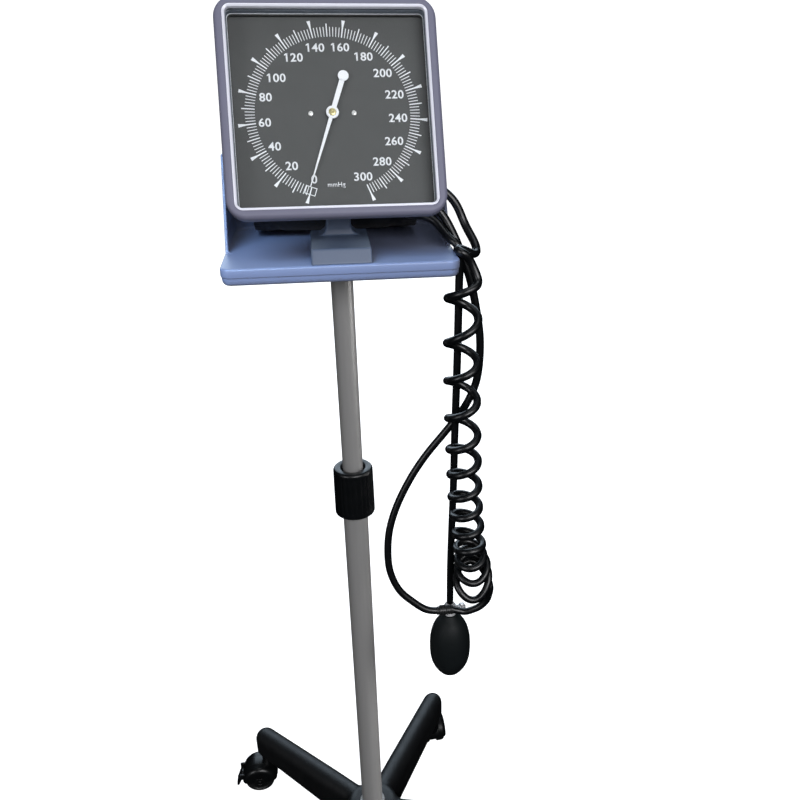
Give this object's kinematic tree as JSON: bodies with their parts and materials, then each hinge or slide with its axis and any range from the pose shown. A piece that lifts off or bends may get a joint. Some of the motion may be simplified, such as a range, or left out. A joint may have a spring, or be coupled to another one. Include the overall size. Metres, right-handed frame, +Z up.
{
  "type": "aneroid blood pressure gauge on a wheeled stand",
  "caption": "Square-dial aneroid blood pressure gauge on a telescopic column with a cuff basket, coiled hose, squeeze bulb and a wheeled star base.",
  "frame": {"origin": "on the floor under the column axis", "axes": "+Z up, -Y towards the front of the dial, +X to the right as the dial is read"},
  "size_m": [0.464, 0.4733, 1.0136],
  "materials": {
    "shell_plastic": "satin lavender-grey moulded plastic",
    "black_plastic": "satin black moulded plastic",
    "dark_plastic": "dark grey moulded plastic",
    "tube_metal": "satin anodised",
    "steel": "brushed, nickel plated",
    "chrome": "bright",
    "brass": "satin",
    "lens": "clear, polished",
    "dial": "matt dark grey with white scale",
    "white": "matt white",
    "rubber": "soft matt black",
    "cuff_fabric": "woven nylon, black",
    "wheel": "worn tread on a nylon core",
    "washer": "natural nylon"
  },
  "bodies": {
    "base": {"spider_base": "black_plastic", "stem_sockets": "steel", "lower_tube": "tube_metal", "tube_seat_ring": "tube_metal", "hub_bolt": "steel", "clamp_collet": "dark_plastic"},
    "collar": {"lock_collar": "black_plastic"},
    "column": {"upper_tube": "tube_metal", "tube_end_bush": "dark_plastic"},
    "head": {"column_socket": "dark_plastic", "tray_screws": "steel", "cuff_basket": "shell_plastic", "pedestal": "shell_plastic", "tilt_pin": "steel", "friction_washers": "washer", "cuff": "cuff_fabric", "cuff_ports": "rubber", "bulb_hose": "rubber", "cuff_hose": "rubber", "gauge_hose_lead": "rubber", "gauge_hose_coil": "rubber", "gauge_hose_tail": "rubber", "luer_socket": "dark_plastic", "luer_plug": "dark_plastic", "valve_body": "chrome", "bulb": "rubber", "inlet_valve": "steel"},
    "valve_knob": {"valve_screw": "chrome"},
    "gauge": {"rear_case": "shell_plastic", "bezel": "shell_plastic", "chrome_trim": "chrome", "lens": "lens", "lens_gasket": "dark_plastic", "dial_plate": "dial", "dial_screws": "steel", "movement_frame": "brass", "capsule": "brass", "inlet_elbow": "steel", "case_screws": "steel", "hairspring": "steel"},
    "sector": {"sector_gear": "brass"},
    "needle": {"pinion_arbor": "steel", "pointer": "white"},
    "caster_fork_1": {"caster_1": "black_plastic"},
    "wheel_pair_1": {"wheels_1": "wheel"},
    "caster_fork_2": {"caster_2": "black_plastic"},
    "wheel_pair_2": {"wheels_2": "wheel"},
    "caster_fork_3": {"caster_3": "black_plastic"},
    "wheel_pair_3": {"wheels_3": "wheel"},
    "caster_fork_4": {"caster_4": "black_plastic"},
    "wheel_pair_4": {"wheels_4": "wheel"},
    "caster_fork_5": {"caster_5": "black_plastic"},
    "wheel_pair_5": {"wheels_5": "wheel"},
    "pedal_2": {"brake_pedal_2": "black_plastic"},
    "pedal_4": {"brake_pedal_4": "black_plastic"}
  },
  "joints": [
    {"name": "height_slide", "type": "slide", "parent": "base", "child": "column", "axis": [0, 0, 1], "range_m": [-0.18, 0.2]},
    {"name": "collar_turn", "type": "hinge", "parent": "base", "child": "collar", "pos_m": [0, 0, 0.573], "axis": [0, 0, 1], "range_deg": [0, 150]},
    {"name": "head_swivel", "type": "hinge", "parent": "column", "child": "head", "pos_m": [0, 0, 0.806], "axis": [0, 0, 1], "continuous": true},
    {"name": "gauge_tilt", "type": "hinge", "parent": "head", "child": "gauge", "pos_m": [0, 0, 0.872], "axis": [1, 0, 0], "range_deg": [-12, 15]},
    {"name": "valve_turn", "type": "hinge", "parent": "head", "child": "valve_knob", "pos_m": [0.094, -0.027, 0.4315], "axis": [1, 0, 0], "range_deg": [0, 540]},
    {"name": "sector_swing", "type": "hinge", "parent": "gauge", "child": "sector", "pos_m": [-0.033, -0.01274, 0.92405], "axis": [0, 0.8988, -0.4384], "range_deg": [-31.84, 0], "stiffness_Nm_per_rad": 0.02, "springref_deg": 5.73},
    {"name": "pointer_turn", "type": "hinge", "parent": "gauge", "child": "needle", "pos_m": [0, -0.01274, 0.92405], "axis": [0, 0.8988, -0.4384], "range_deg": [0, 318.4], "deforming": ["hairspring"]},
    {"name": "caster_swivel_1", "type": "hinge", "parent": "base", "child": "caster_fork_1", "pos_m": [0.10084, 0.18192, 0.07], "axis": [0, 0, 1], "continuous": true},
    {"name": "wheel_roll_1", "type": "hinge", "parent": "caster_fork_1", "child": "wheel_pair_1", "pos_m": [0.09962, 0.19587, 0.02], "axis": [-0.9962, -0.0872, 0], "continuous": true},
    {"name": "caster_swivel_2", "type": "hinge", "parent": "base", "child": "caster_fork_2", "pos_m": [-0.14186, 0.15212, 0.07], "axis": [0, 0, 1], "continuous": true},
    {"name": "wheel_roll_2", "type": "hinge", "parent": "caster_fork_2", "child": "wheel_pair_2", "pos_m": [-0.15586, 0.15212, 0.02], "axis": [0, -1, 0], "continuous": true},
    {"name": "brake_2", "type": "hinge", "parent": "caster_fork_2", "child": "pedal_2", "pos_m": [-0.18086, 0.15212, 0.0245], "axis": [0, 1, 0], "range_deg": [0, 25]},
    {"name": "caster_swivel_3", "type": "hinge", "parent": "base", "child": "caster_fork_3", "pos_m": [-0.18851, -0.0879, 0.07], "axis": [0, 0, 1], "continuous": true},
    {"name": "wheel_roll_3", "type": "hinge", "parent": "caster_fork_3", "child": "wheel_pair_3", "pos_m": [-0.19214, -0.10143, 0.02], "axis": [0.9659, -0.2588, 0], "continuous": true},
    {"name": "caster_swivel_4", "type": "hinge", "parent": "base", "child": "caster_fork_4", "pos_m": [0.02535, -0.20645, 0.07], "axis": [0, 0, 1], "continuous": true},
    {"name": "wheel_roll_4", "type": "hinge", "parent": "caster_fork_4", "child": "wheel_pair_4", "pos_m": [0.03235, -0.21857, 0.02], "axis": [0.866, 0.5, 0], "continuous": true},
    {"name": "brake_4", "type": "hinge", "parent": "caster_fork_4", "child": "pedal_4", "pos_m": [0.04485, -0.24022, 0.0245], "axis": [-0.866, -0.5, 0], "range_deg": [0, 25]},
    {"name": "caster_swivel_5", "type": "hinge", "parent": "base", "child": "caster_fork_5", "pos_m": [0.20418, -0.03969, 0.07], "axis": [0, 0, 1], "continuous": true},
    {"name": "wheel_roll_5", "type": "hinge", "parent": "caster_fork_5", "child": "wheel_pair_5", "pos_m": [0.21733, -0.0349, 0.02], "axis": [-0.342, 0.9397, 0], "continuous": true}
  ],
  "couplings": [
    {"joint": "pointer_turn", "follows": "sector_swing", "ratio": -10}
  ]
}
